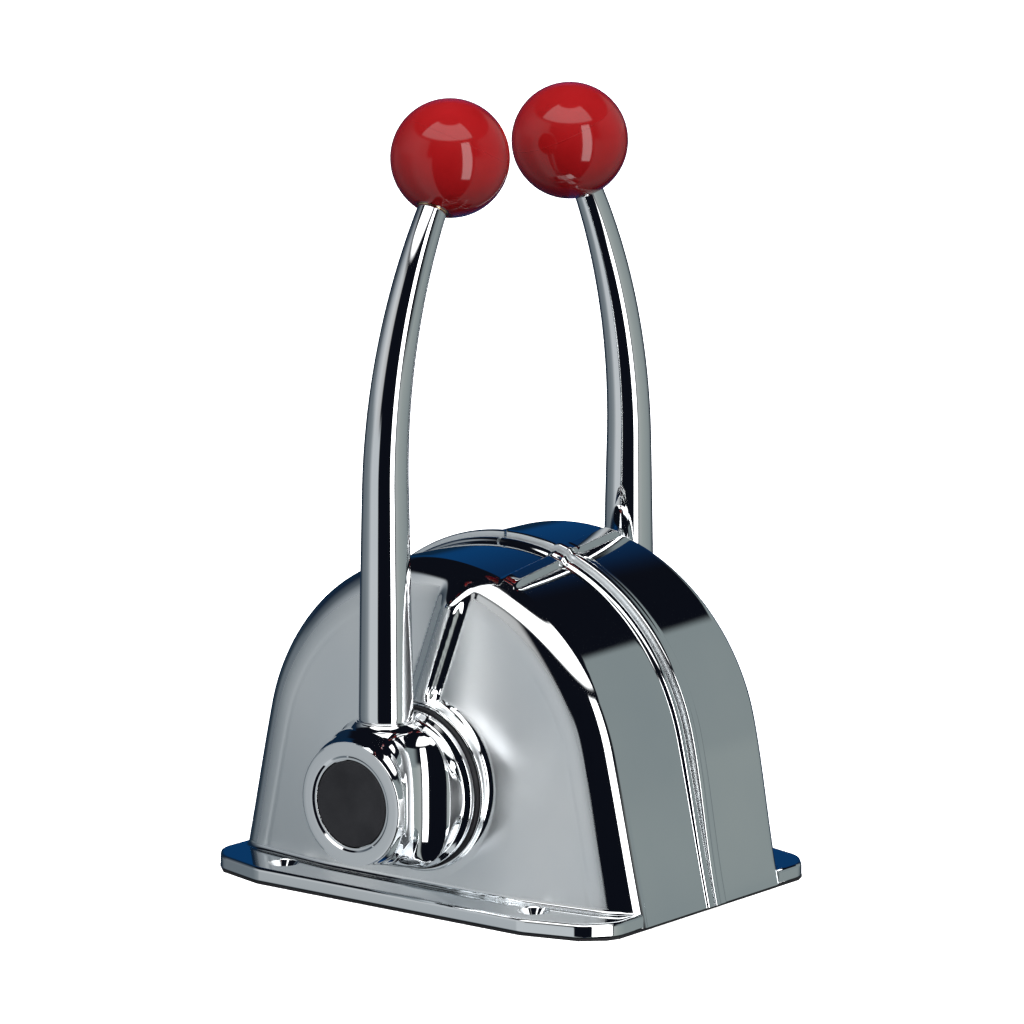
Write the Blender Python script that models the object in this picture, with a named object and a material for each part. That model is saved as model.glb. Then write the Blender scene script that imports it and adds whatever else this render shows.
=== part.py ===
"""Twin-lever engine control head: a two-part domed housing with one swinging ball-knob lever on each side.

Metres, +Z up, -Y towards the operator. The origin is at the centre of the underside.
X runs along the lever axis. Apart from the index rib and the strip beside the seam, every piece
of the left side mirrors the right side's.
"""

import math

import bmesh
import bpy
from mathutils import Matrix, Vector

MM = 0.001
GAP = 0.3 * MM

# Housing
HUB_Z = 47.5 * MM
DOME_R = 91.4 * MM
SHOULDER_R = 11 * MM
SIDE_X = 53 * MM
LEG_LEAN = math.radians(13.5)
WALL = 3.2 * MM
SEAM_X = 0.15 * MM
BEAD_R = 92.4 * MM
BEAD_X = 4.6 * MM
STRIP_R = 92 * MM
STRIP_X = 8.2 * MM
GASKET_T = 1.2 * MM
BASE_Z = GASKET_T + GAP
FLANGE_T = 5.5 * MM
FLANGE_X = 81.8 * MM
FLANGE_Y = 103.5 * MM
MOUNT_HOLE = (68 * MM, 65 * MM)
MOUNT_HOLE_R = 3.2 * MM
MOUNT_SINK_R = 6.5 * MM
BOSS_R = 35 * MM
BOSS_X = 63 * MM
FLARE = [  # the swell of the side face towards its foot: height, half width, half width and x of its crown
    (1.5 * MM, 91 * MM, 51 * MM, 62.2 * MM), (20 * MM, 88 * MM, 45 * MM, 61 * MM),
    (36 * MM, 84 * MM, 38 * MM, 59.6 * MM), (47.5 * MM, 81 * MM, 33 * MM, 58.2 * MM),
    (60 * MM, 78 * MM, 30 * MM, 56.6 * MM), (75 * MM, 72 * MM, 26 * MM, 54.6 * MM),
    (90 * MM, 60 * MM, 20 * MM, 52.7 * MM)]
FLARE_ROOT = 6 * MM
FLARE_STEP = 0.1 * MM
INNER_BOSS_X = 37 * MM
RIB_SEAM_ANGLE = math.radians(16.8)
RIB_END_ANGLE = {-1: math.radians(21.7), 1: math.radians(12.1)}
RIB_ROOT = (-0.4 * MM, 84 * MM)
RIB_LEAN = math.radians(19.3)
RIB_W = 9 * MM
RIB_SIDE_W = 14 * MM
RIB_H = 2.2 * MM

# Lever
HUB_BACK_X = 65 * MM
HUB_FACE_X = 103.8 * MM
HUB_R = 25.1 * MM
HUB_FLANGE_R = 32.9 * MM
HUB_FLOOR_X = 87 * MM
COUNTERBORE_R = 12 * MM
KNOB_R = 24 * MM
KNOB = Vector((39.4 * MM, 0, 300.6 * MM))
KNOB_SEAT = 22.6 * MM
ARM_BEND_R = 216 * MM
ARM_BEND = math.radians(30)
ARM_BEND_STEPS = 6
ARM_TAIL = 2.5 * MM
ARM_BASE_R = 10.5 * MM
ARM_TIP_R = 6 * MM
ARM_TIP_WAY = Vector((-math.sin(ARM_BEND), 0, math.cos(ARM_BEND)))
ARM_TIP = KNOB - ARM_TIP_WAY * KNOB_SEAT
ARM_BEND_END = ARM_TIP - ARM_TIP_WAY * ARM_TAIL
ARM_X = ARM_BEND_END.x + ARM_BEND_R * (1 - math.cos(ARM_BEND))
ARM_BEND_Z = ARM_BEND_END.z - ARM_BEND_R * math.sin(ARM_BEND)

# Lever shaft and what is on it
SHAFT_R = 6 * MM
SHAFT_IN_X = 22 * MM
SHAFT_OUT_X = 86.2 * MM
CAP_R = 17.56 * MM
BUSH_R = 10 * MM
DRIVE_X = (20.5 * MM, 34 * MM)
DRIVE_PLATE_X = (24 * MM, 30 * MM)
DRIVE_HUB_R = 11 * MM
PIN_Y = 36 * MM
PIN_R = 3.9 * MM
ANCHOR_Y = 44 * MM
ANCHOR_Z = 9 * MM
ANCHOR_HALF_Y = 13 * MM
ANCHOR_HALF_Z = 5 * MM
ANCHOR_SCREW_Y = 8.5 * MM
ANCHOR_LUG_X = (36 * MM, 60 * MM)
BRAKE_X = 27 * MM
BRAKE_Y = -28 * MM
BRAKE_POST_X = (20 * MM, 56 * MM)
SEAM_BOLTS = {"top": (0, 127.5 * MM), "front": (-89 * MM, 25 * MM), "rear": (89 * MM, 25 * MM)}
LUG_R = 9 * MM
LUG_X = 8 * MM
BOLT_R = 2.4 * MM

MATERIALS = {
    "chrome": ((0.75, 0.78, 0.80), 0.08, 1.0),
    "red_gloss": ((0.62, 0.01, 0.02), 0.12, 0.0),
    "black_plastic": ((0.02, 0.02, 0.025), 0.5, 0.0),
    "rubber": ((0.02, 0.02, 0.02), 0.8, 0.0),
    "brass": ((0.72, 0.52, 0.22), 0.3, 1.0),
    "steel": ((0.55, 0.56, 0.58), 0.35, 1.0),
    "zinc_plate": ((0.62, 0.60, 0.52), 0.4, 1.0),
    "brake_lining": ((0.18, 0.11, 0.07), 0.9, 0.0),
}


def clear_scene():
    for obj in list(bpy.data.objects):
        bpy.data.objects.remove(obj, do_unlink=True)


def material(name):
    found = bpy.data.materials.get(name)
    if found:
        return found
    colour, roughness, metallic = MATERIALS[name]
    made = bpy.data.materials.new(name)
    made.use_nodes = True
    shader = made.node_tree.nodes["Principled BSDF"]
    shader.inputs["Base Color"].default_value = (*colour, 1)
    shader.inputs["Roughness"].default_value = roughness
    shader.inputs["Metallic"].default_value = metallic
    return made


def solid(name, shape, finish, sign=1, origin=(0, 0, 0)):
    """The shape as an object with its origin at the given point, mirrored across X = 0 for the left."""
    if sign < 0:
        bmesh.ops.scale(shape, vec=(-1, 1, 1), verts=shape.verts)
    bmesh.ops.translate(shape, vec=-Vector(origin), verts=shape.verts)
    bmesh.ops.recalc_face_normals(shape, faces=shape.faces)
    mesh = bpy.data.meshes.new(name)
    shape.to_mesh(mesh)
    shape.free()
    mesh.shade_smooth()
    mesh.set_sharp_from_angle(angle=math.radians(35))
    mesh.materials.append(material(finish))
    obj = bpy.data.objects.new(name, mesh)
    obj.location = origin
    bpy.context.collection.objects.link(obj)
    return obj


def boolean(target, shape, operation, sign=1):
    """Joins the shape to the target or cuts it away, with a hidden helper object.

    The housings take some twenty joins and cuts in a row, where only the MANIFOLD solver stays closed.
    """
    label = f"{target.name}.{operation.lower()}{len(target.modifiers)}"
    helper = solid(label, shape, "steel", sign)
    helper.hide_render = True
    helper.display_type = "WIRE"
    modifier = target.modifiers.new(operation.title(), "BOOLEAN")
    modifier.operation = operation
    modifier.object = helper
    modifier.solver = "MANIFOLD" if target.name.endswith("housing") else "EXACT"


def cut(target, shape, sign=1):
    boolean(target, shape, "DIFFERENCE", sign)


def join(target, shape, sign=1):
    boolean(target, shape, "UNION", sign)


def loft(rings):
    """A closed solid through rings of equal length, capped at both ends."""
    shape = bmesh.new()
    rows = [[shape.verts.new(point) for point in ring] for ring in rings]
    for low, high in zip(rows, rows[1:]):
        for i in range(len(low)):
            j = (i + 1) % len(low)
            shape.faces.new((low[i], low[j], high[j], high[i]))
    shape.faces.new(rows[0][::-1])
    shape.faces.new(rows[-1])
    return shape


def turned(profile, centre=(0, 0, 0), axis="X", steps=32):
    """A solid turned from (along, radius) points, closed on its axis where the radius is 0."""
    shape = bmesh.new()
    points = [shape.verts.new((along, 0, radius)) for along, radius in profile]
    edges = [shape.edges.new(pair) for pair in zip(points, points[1:] + points[:1])
             if pair[0].co.z > 0 or pair[1].co.z > 0]
    bmesh.ops.spin(shape, geom=points + edges, cent=(0, 0, 0), axis=(1, 0, 0),
                   angle=math.tau, steps=steps, use_merge=True)
    bmesh.ops.remove_doubles(shape, verts=shape.verts, dist=1e-6)
    turns = {"X": Matrix.Identity(3), "Y": Matrix.Rotation(math.pi / 2, 3, "Z"),
             "Z": Matrix.Rotation(-math.pi / 2, 3, "Y")}
    bmesh.ops.transform(shape, matrix=turns[axis].to_4x4(), verts=shape.verts)
    bmesh.ops.translate(shape, vec=centre, verts=shape.verts)
    return shape


def rod(start, end, radius, centre=(0, 0, 0), axis="X", steps=24):
    return turned([(start, 0), (start, radius), (end, radius), (end, 0)], centre, axis, steps)


def tube(start, end, outer, inner, centre=(0, 0, 0), axis="X", steps=32):
    profile = [(start, inner), (start, outer), (end, outer), (end, inner)]
    return turned(profile, centre, axis, steps)


def block(low, high):
    """A box between two corners."""
    shape = bmesh.new()
    bmesh.ops.create_cube(shape, size=1)
    size = [b - a for a, b in zip(low, high)]
    middle = [(a + b) / 2 for a, b in zip(low, high)]
    bmesh.ops.scale(shape, vec=size, verts=shape.verts)
    bmesh.ops.translate(shape, vec=middle, verts=shape.verts)
    return shape


def plate(outline, start, end, axis="Z"):
    """A flat outline given thickness along Z or X."""
    def at(point, level):
        return (*point, level) if axis == "Z" else (level, *point)
    return loft([[at(point, level) for point in outline] for level in (start, end)])


def arc(centre, radius, start, end, steps):
    angles = [math.radians(start + (end - start) * i / steps) for i in range(steps + 1)]
    return [(centre[0] + radius * math.cos(a), centre[1] + radius * math.sin(a)) for a in angles]


def dome_outline(x, radius, base_z, steps=22):
    """The side outline at x: an arc about the lever axis, running into two legs that lean outwards."""
    top = arc((0, HUB_Z), radius, 180 - math.degrees(LEG_LEAN), math.degrees(LEG_LEAN), steps)
    foot_y = top[-1][0] + (top[-1][1] - base_z) * math.tan(LEG_LEAN)
    return [(x, y, z) for y, z in [(-foot_y, base_z), *top, (foot_y, base_z)]]


def shoulder(radius, side_x, round_r, steps=4):
    """(x, radius) sections over the rounded shoulder between the dome and its side face."""
    turn = [math.pi / 2 * i / steps for i in range(steps + 1)]
    centre_x = side_x - round_r
    centre_r = radius - round_r
    return [(centre_x + round_r * math.sin(a), centre_r + round_r * math.cos(a)) for a in turn]


def housing_skin(sign):
    """The outer shape of one half without its flange, from the seam bead to the side face."""
    bead = [(SEAM_X, BEAD_R - 0.8 * MM), (1 * MM, BEAD_R), (3.6 * MM, BEAD_R)]
    if sign > 0:
        bead += [(4 * MM, STRIP_R), (STRIP_X - 0.3 * MM, STRIP_R), (STRIP_X, DOME_R)]
    else:
        bead += [(BEAD_X - 0.3 * MM, BEAD_R - 0.7 * MM), (BEAD_X, DOME_R)]
    sections = bead + shoulder(DOME_R, SIDE_X, SHOULDER_R)
    return loft([dome_outline(x, radius, BASE_Z) for x, radius in sections])


def cavity():
    sections = [(-1 * MM, DOME_R - WALL)] + shoulder(DOME_R - WALL, SIDE_X - WALL, SHOULDER_R - WALL, 2)
    return loft([dome_outline(x, radius, -2 * MM, 14) for x, radius in sections])


def side_flare(inset=0):
    """How far the side face stands out round its boss and down to its foot, or the hollow inside it."""
    rings = []
    for z, edge_y, crown_y, crown_x in FLARE:
        edge_x = SIDE_X - inset - FLARE_STEP
        half = [(SIDE_X - inset - FLARE_ROOT, edge_y - inset), (edge_x, edge_y - inset),
                (crown_x - inset, crown_y - inset / 3)]
        ring = [(x, -y) for x, y in half] + [(x, y) for x, y in reversed(half)]
        drop = inset if z == FLARE[0][0] else 0
        rings.append([(x, y, z - drop) for x, y in ring])
    return loft(rings)


def flange_outline(inner_x, inset=0):
    """One half of the foot, in the XY plane: the ear stands out at the side and the ends are flush."""
    ear = [(62 * MM, FLANGE_Y), (67.5 * MM, 101.2 * MM), (75 * MM, 93 * MM), (FLANGE_X, 68.8 * MM)]
    front = [(x - inset, -y + inset) for x, y in ear]
    rear = [(x, -y) for x, y in reversed(front)]
    ends = FLANGE_Y - inset
    return [(inner_x, -ends), *front, *rear, (inner_x, ends)]


def mount_holes():
    return [(MOUNT_HOLE[0], MOUNT_HOLE[1] * end) for end in (-1, 1)]


def hub_boss():
    """The round boss that the lever turns against, flared where it meets the side face."""
    profile = [(SIDE_X - 5 * MM, 0), (SIDE_X - 5 * MM, BOSS_R + 5 * MM), (SIDE_X, BOSS_R + 4 * MM),
               (SIDE_X + 1.2 * MM, BOSS_R + 1.8 * MM), (SIDE_X + 4 * MM, BOSS_R + 0.4 * MM),
               (BOSS_X - 1 * MM, BOSS_R), (BOSS_X, BOSS_R - 1 * MM), (BOSS_X, 0)]
    return turned(profile, (0, 0, HUB_Z), steps=28)


def crown_rib(sign):
    """The index rib over the top. It runs on one slant across both halves."""
    rings = []
    for x, angle in ((BEAD_X / 2, RIB_SEAM_ANGLE), (SIDE_X - 6 * MM, RIB_END_ANGLE[sign])):
        turn = Matrix.Rotation(angle, 3, "X")
        section = [(-RIB_W / 2, DOME_R - 4 * MM), (RIB_W / 2, DOME_R - 4 * MM),
                   (RIB_W / 3, DOME_R + RIB_H), (-RIB_W / 3, DOME_R + RIB_H)]
        rings.append([turn @ Vector((x, y, z)) + Vector((0, 0, HUB_Z)) for y, z in section])
    return loft(rings)


def side_rib():
    """The index rib up the side face, from the hub boss until it fades into the rounded shoulder."""
    turn = Matrix.Rotation(RIB_LEAN, 3, "X")
    root = Vector((0, *RIB_ROOT))
    inner_x = SIDE_X - 8 * MM
    crest_x = SIDE_X + RIB_H
    rings = []
    for height, outer_x in ((-9 * MM, crest_x), (40 * MM, crest_x), (47 * MM, SIDE_X - 3 * MM)):
        section = [(inner_x, -RIB_SIDE_W / 2), (inner_x, RIB_SIDE_W / 2),
                   (outer_x, RIB_SIDE_W / 3), (outer_x, -RIB_SIDE_W / 3)]
        rings.append([turn @ Vector((x, y, height)) + root for x, y in section])
    return loft(rings)


def make_housing(side, sign):
    half = solid(f"{side}_housing", housing_skin(sign), "chrome", sign)
    join(half, plate(flange_outline(SEAM_X), BASE_Z, BASE_Z + FLANGE_T), sign)
    join(half, side_flare(), sign)
    join(half, hub_boss(), sign)
    join(half, crown_rib(sign), sign)
    join(half, side_rib(), sign)
    cut(half, cavity(), sign)
    cut(half, side_flare(WALL), sign)
    join(half, rod(INNER_BOSS_X, BOSS_X - 5 * MM, 15 * MM, (0, 0, HUB_Z)), sign)
    for y, z in SEAM_BOLTS.values():
        join(half, rod(2 * SEAM_X, LUG_X, LUG_R, (0, y, z), steps=16), sign)
        cut(half, rod(-1 * MM, LUG_X + 1 * MM, BOLT_R + GAP, (0, y, z), steps=12), sign)
    lug_low = (ANCHOR_LUG_X[0], ANCHOR_Y - ANCHOR_HALF_Y, ANCHOR_Z - ANCHOR_HALF_Z)
    lug_high = (ANCHOR_LUG_X[1], ANCHOR_Y + ANCHOR_HALF_Y, ANCHOR_Z + ANCHOR_HALF_Z)
    join(half, block(lug_low, lug_high), sign)
    post_low = (BRAKE_POST_X[0], BRAKE_Y - 4 * MM, HUB_Z - 7 * MM)
    join(half, block(post_low, (BRAKE_POST_X[1], BRAKE_Y + 4 * MM, HUB_Z + 7 * MM)), sign)
    brake_centre = (BRAKE_X, 0, HUB_Z)
    cut(half, rod(BRAKE_Y - 5 * MM, BRAKE_Y + 5 * MM, 3.2 * MM, brake_centre, "Y", 16), sign)
    for offset in (-ANCHOR_SCREW_Y, ANCHOR_SCREW_Y):
        centre = (0, ANCHOR_Y + offset, ANCHOR_Z)
        cut(half, rod(35 * MM, 46 * MM, 2.5 * MM, centre, steps=12), sign)
    bore_r = BUSH_R + GAP
    bore = [(INNER_BOSS_X - 1 * MM, 0), (INNER_BOSS_X - 1 * MM, bore_r), (BOSS_X - 2.4 * MM, bore_r),
            (BOSS_X - 2.4 * MM, bore_r + 3 * MM), (BOSS_X + 1 * MM, bore_r + 3 * MM), (BOSS_X + 1 * MM, 0)]
    cut(half, turned(bore, (0, 0, HUB_Z), steps=24), sign)
    for x, y in mount_holes():
        top = BASE_Z + FLANGE_T
        hole = [(0, 0), (0, MOUNT_HOLE_R), (top - 3.3 * MM, MOUNT_HOLE_R), (top + 0.2 * MM, MOUNT_SINK_R),
                (top + 6 * MM, MOUNT_SINK_R), (top + 6 * MM, 0)]
        cut(half, turned(hole, (x, y, 0), "Z", 16), sign)


def make_gasket():
    right = flange_outline(0, 0.6 * MM)[1:-1]
    left = [(-x, y) for x, y in reversed(right)]
    gasket = solid("base_gasket", plate(right + left, 0, GASKET_T), "rubber")
    open_x = SIDE_X - WALL
    open_y = FLANGE_Y - WALL - 3.5 * MM
    cut(gasket, block((-open_x, -open_y, -1 * MM), (open_x, open_y, 3 * MM)))
    for x, y in mount_holes():
        for sign in (-1, 1):
            cut(gasket, rod(-1 * MM, 3 * MM, MOUNT_HOLE_R, (sign * x, y, 0), "Z", 16))


def hub_profile():
    face = HUB_FACE_X
    return [(HUB_BACK_X, SHAFT_R + GAP), (HUB_BACK_X, HUB_FLANGE_R - 0.8 * MM), (65.8 * MM, HUB_FLANGE_R),
            (67.4 * MM, HUB_FLANGE_R), (68.4 * MM, HUB_FLANGE_R - 1.1 * MM), (69.4 * MM, 30.3 * MM),
            (72 * MM, 29.8 * MM), (79 * MM, 29.6 * MM), (82.5 * MM, 28.2 * MM), (85.5 * MM, 26 * MM),
            (88.5 * MM, HUB_R), (face - 1 * MM, HUB_R), (face - 0.3 * MM, HUB_R - 0.3 * MM),
            (face, HUB_R - 1 * MM), (face, CAP_R + 2 * MM),
            (face - 0.6 * MM, CAP_R + 1.4 * MM), (face - 0.6 * MM, CAP_R + GAP),
            (97.9 * MM, CAP_R + GAP), (97.9 * MM, COUNTERBORE_R), (HUB_FLOOR_X, COUNTERBORE_R),
            (HUB_FLOOR_X, SHAFT_R + GAP)]


def arm_path():
    """(point, direction) along the bar's centre line: straight up, then bent inwards to the knob."""
    straight = [62 * MM, 76 * MM, 110 * MM, 140 * MM, ARM_BEND_Z]
    path = [(Vector((ARM_X, 0, z)), Vector((0, 0, 1))) for z in straight]
    centre = Vector((ARM_X - ARM_BEND_R, 0, ARM_BEND_Z))
    for i in range(1, ARM_BEND_STEPS + 1):
        angle = ARM_BEND * i / ARM_BEND_STEPS
        outward = Vector((math.cos(angle), 0, math.sin(angle)))
        path.append((centre + ARM_BEND_R * outward, Vector((-math.sin(angle), 0, math.cos(angle)))))
    return path


def ring_about(point, direction, radius, steps=16):
    across = Vector((0, 1, 0))
    side = across.cross(direction).normalized()
    angles = [math.tau * i / steps for i in range(steps)]
    return [point + radius * (math.cos(a) * side + math.sin(a) * across) for a in angles]


def bar():
    """The lever's bar, tapering from its root in the hub to the threaded stud inside the knob."""
    path = arm_path()
    path.append((ARM_TIP - ARM_TIP_WAY * GAP, ARM_TIP_WAY))
    root_z = path[1][0].z
    travel = ARM_TIP.z - root_z
    rings = []
    for point, along in path:
        share = max(0, (point.z - root_z) / travel)
        rings.append(ring_about(point, along, ARM_BASE_R + (ARM_TIP_R - ARM_BASE_R) * share))
    stud_r = 4 * MM
    rings.append(ring_about(ARM_TIP - ARM_TIP_WAY * GAP, ARM_TIP_WAY, stud_r))
    rings.append(ring_about(ARM_TIP + ARM_TIP_WAY * 15 * MM, ARM_TIP_WAY, stud_r))
    return loft(rings)


def make_lever(side, sign):
    pivot = (0, 0, HUB_Z)
    lever = solid(f"{side}_lever", turned(hub_profile(), pivot, steps=28), "chrome", sign, pivot)
    join(lever, bar(), sign)
    return lever


def into_knob(shape):
    """A shape made along +X from the origin, moved so that it runs from the bar's tip into the knob."""
    turn = Vector((1, 0, 0)).rotation_difference(ARM_TIP_WAY).to_matrix().to_4x4()
    bmesh.ops.transform(shape, matrix=Matrix.Translation(ARM_TIP) @ turn, verts=shape.verts)
    return shape


def make_knob(side, sign):
    pivot = (0, 0, HUB_Z)
    ball = bmesh.new()
    bmesh.ops.create_uvsphere(ball, u_segments=24, v_segments=14, radius=KNOB_R)
    bmesh.ops.translate(ball, vec=KNOB, verts=ball.verts)
    knob = solid(f"{side}_knob", ball, "red_gloss", sign, pivot)
    cut(knob, into_knob(rod(-10 * MM, 0, 8 * MM, steps=16)), sign)
    cut(knob, into_knob(rod(-5 * MM, 17.5 * MM, 6.9 * MM, steps=16)), sign)
    insert = into_knob(tube(0, 17 * MM, 6.5 * MM, 4.3 * MM, steps=16))
    solid(f"{side}_knob_insert", insert, "brass", sign, pivot)


def hex_socket(start, end, across, centre=(0, 0, 0), axis="X"):
    return rod(start, end, across / 2, centre, axis, 6)


def make_hub_fittings(side, sign):
    """The cap, screw and washer in the mouth of the hub, and the seal behind its flange."""
    pivot = (0, 0, HUB_Z)
    face = HUB_FACE_X - 0.7 * MM
    cap = turned([(98.2 * MM, 0), (98.2 * MM, CAP_R), (face - 0.4 * MM, CAP_R), (face, CAP_R - 0.4 * MM),
                  (face, 0)], pivot, steps=32)
    solid(f"{side}_hub_cap", cap, "black_plastic", sign, pivot)
    washer = tube(HUB_FLOOR_X + GAP, 88.9 * MM, 10.5 * MM, 4.3 * MM, pivot, steps=20)
    solid(f"{side}_hub_washer", washer, "zinc_plate", sign, pivot)
    screw_profile = [(68 * MM, 0), (68 * MM, 3.5 * MM), (89.2 * MM, 3.5 * MM), (89.2 * MM, 7 * MM),
                     (96.5 * MM, 7 * MM), (97.2 * MM, 6.3 * MM), (97.2 * MM, 0)]
    screw = solid(f"{side}_hub_screw", turned(screw_profile, pivot, steps=16), "steel", sign, pivot)
    cut(screw, hex_socket(92 * MM, 98 * MM, 7 * MM, pivot), sign)
    seal_in = BOSS_X + GAP
    seal_out = HUB_BACK_X - GAP
    seal_profile = [(seal_in, 27 * MM), (seal_in, 33.4 * MM), (seal_out, 32.6 * MM), (seal_out, 27 * MM)]
    seal = turned(seal_profile, pivot, steps=28)
    solid(f"{side}_hub_seal", seal, "rubber", sign)


def make_shaft(side, sign):
    pivot = (0, 0, HUB_Z)
    profile = [(SHAFT_IN_X, 0), (SHAFT_IN_X, SHAFT_R - 0.6 * MM), (SHAFT_IN_X + 0.6 * MM, SHAFT_R),
               (SHAFT_OUT_X - 0.6 * MM, SHAFT_R), (SHAFT_OUT_X, SHAFT_R - 0.6 * MM), (SHAFT_OUT_X, 0)]
    shaft = solid(f"{side}_lever_shaft", turned(profile, pivot, steps=20), "steel", sign, pivot)
    cut(shaft, rod(67 * MM, 90 * MM, 3.8 * MM, pivot, steps=12), sign)
    cut(shaft, rod(18 * MM, 35 * MM, 3.4 * MM, pivot, steps=12), sign)
    bush = turned([(INNER_BOSS_X, SHAFT_R + GAP), (INNER_BOSS_X, BUSH_R), (BOSS_X - 2.1 * MM, BUSH_R),
                   (BOSS_X - 2.1 * MM, BUSH_R + 3 * MM), (BOSS_X - GAP, BUSH_R + 3 * MM),
                   (BOSS_X - GAP, SHAFT_R + GAP)], pivot, steps=24)
    solid(f"{side}_shaft_bushing", bush, "brass", sign)


def make_drive_arm(side, sign):
    """The clamped arm that points to the rear at neutral, and the screw that holds it on the shaft."""
    pivot = (0, 0, HUB_Z)
    hub = tube(*DRIVE_X, DRIVE_HUB_R, SHAFT_R + GAP, pivot, steps=24)
    arm = solid(f"{side}_drive_arm", hub, "zinc_plate", sign, pivot)
    tip = arc((PIN_Y, HUB_Z), 6.5 * MM, -80, 80, 8)
    root = [(7.6 * MM, HUB_Z + 8.5 * MM), (7.6 * MM, HUB_Z - 8.5 * MM)]
    blade = plate(root + tip, *DRIVE_PLATE_X, axis="X")
    join(arm, blade, sign)
    cut(arm, rod(23 * MM, 31 * MM, PIN_R + GAP, (0, PIN_Y, HUB_Z), steps=16), sign)
    screw_profile = [(16.4 * MM, 0), (16.4 * MM, 8.4 * MM), (17 * MM, 9 * MM), (20.2 * MM, 9 * MM),
                     (20.2 * MM, 3 * MM), (33 * MM, 3 * MM), (33 * MM, 0)]
    screw = solid(f"{side}_arm_screw", turned(screw_profile, pivot, steps=16), "steel", sign, pivot)
    cut(screw, hex_socket(15 * MM, 18.4 * MM, 6 * MM, pivot), sign)


def make_cable_pivot(side, sign):
    """The swivelling barrel that holds the cable's end, and the clip that keeps it in the drive arm."""
    pin = (0, PIN_Y, HUB_Z)
    profile = [(20.4 * MM, 0), (20.4 * MM, PIN_R), (30.3 * MM, PIN_R), (30.3 * MM, 7 * MM),
               (42 * MM, 7 * MM), (42 * MM, 0)]
    barrel = solid(f"{side}_cable_pivot", turned(profile, pin, steps=16), "brass", sign, pin)
    cut(barrel, rod(-9 * MM, 9 * MM, 2.5 * MM, (36 * MM, PIN_Y, HUB_Z), "Z", 12), sign)
    clip = tube(22.2 * MM, 23.6 * MM, 7 * MM, PIN_R + GAP, pin, steps=16)
    solid(f"{side}_pivot_clip", clip, "steel", sign, pin)


def make_brake(side, sign):
    """The friction shoe on the drive arm's hub, and the screw that sets its pressure."""
    shoe = block((21 * MM, -19.7 * MM, HUB_Z - 6.5 * MM), (33.5 * MM, -9 * MM, HUB_Z + 6.5 * MM))
    pad = solid(f"{side}_brake_shoe", shoe, "brake_lining", sign)
    cut(pad, rod(20 * MM, 35 * MM, DRIVE_HUB_R + GAP, (0, 0, HUB_Z), steps=24), sign)
    profile = [(-48 * MM, 0), (-48 * MM, 5.6 * MM), (-47.4 * MM, 6.2 * MM), (-42 * MM, 6.2 * MM),
               (-42 * MM, 2.9 * MM), (-20 * MM, 2.9 * MM), (-20 * MM, 0)]
    centre = (BRAKE_X, 0, HUB_Z)
    screw = solid(f"{side}_brake_screw", turned(profile, centre, "Y", 16), "steel", sign)
    cut(screw, block((20 * MM, -49 * MM, HUB_Z - 0.7 * MM), (34 * MM, -46 * MM, HUB_Z + 0.7 * MM)), sign)


def make_cable_anchor(side, sign):
    """The block that holds the end of the cable's casing, screwed to a lug on the side wall."""
    low = (25 * MM, ANCHOR_Y - ANCHOR_HALF_Y, ANCHOR_Z - ANCHOR_HALF_Z)
    high = (ANCHOR_LUG_X[0] - GAP, ANCHOR_Y + ANCHOR_HALF_Y, ANCHOR_Z + ANCHOR_HALF_Z)
    anchor = solid(f"{side}_cable_anchor", block(low, high), "zinc_plate", sign)
    cut(anchor, rod(0, 20 * MM, 3.8 * MM, (31 * MM, ANCHOR_Y, 0), "Z", 16), sign)
    for end, offset in (("front", -ANCHOR_SCREW_Y), ("rear", ANCHOR_SCREW_Y)):
        centre = (0, ANCHOR_Y + offset, ANCHOR_Z)
        cut(anchor, rod(24 * MM, 37 * MM, 2.5 * MM, centre, steps=12), sign)
        profile = [(20.7 * MM, 0), (20.7 * MM, 3.4 * MM), (21.3 * MM, 4 * MM), (24.7 * MM, 4 * MM),
                   (24.7 * MM, 2.2 * MM), (45 * MM, 2.2 * MM), (45 * MM, 0)]
        screw = solid(f"{side}_anchor_screw_{end}", turned(profile, centre, steps=12), "steel", sign)
        cut(screw, hex_socket(20 * MM, 22.6 * MM, 4 * MM, centre), sign)


def make_seam_bolts():
    for place, (y, z) in SEAM_BOLTS.items():
        head = -LUG_X - GAP
        profile = [(head - 4 * MM, 0), (head - 4 * MM, 3.9 * MM), (head - 3.5 * MM, 4.4 * MM),
                   (head, 4.4 * MM), (head, BOLT_R), (LUG_X + 6 * MM, BOLT_R), (LUG_X + 6 * MM, 0)]
        bolt = solid(f"seam_bolt_{place}", turned(profile, (0, y, z), steps=12), "steel")
        cut(bolt, hex_socket(head - 5 * MM, head - 2 * MM, 4.4 * MM, (0, y, z)))
        bore_corner_r = (BOLT_R + GAP) / math.cos(math.pi / 6)
        nut = tube(LUG_X + GAP, LUG_X + 4.3 * MM, 4.7 * MM, bore_corner_r, (0, y, z), steps=6)
        solid(f"seam_nut_{place}", nut, "zinc_plate")


def main():
    clear_scene()
    make_gasket()
    make_seam_bolts()
    for side, sign in (("left", -1), ("right", 1)):
        make_housing(side, sign)
        make_lever(side, sign)
        make_knob(side, sign)
        make_hub_fittings(side, sign)
        make_shaft(side, sign)
        make_drive_arm(side, sign)
        make_cable_pivot(side, sign)
        make_brake(side, sign)
        make_cable_anchor(side, sign)


main()
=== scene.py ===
"""Looks for the twin-lever engine control head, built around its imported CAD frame.

Lengths are in millimetres until a mesh is made, in the frame's own axes: X along the lever axis,
-Y towards the operator, Z up from the underside.
"""

import math

import bmesh
import bpy
import numpy as np
from mathutils import Matrix, Vector


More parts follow.
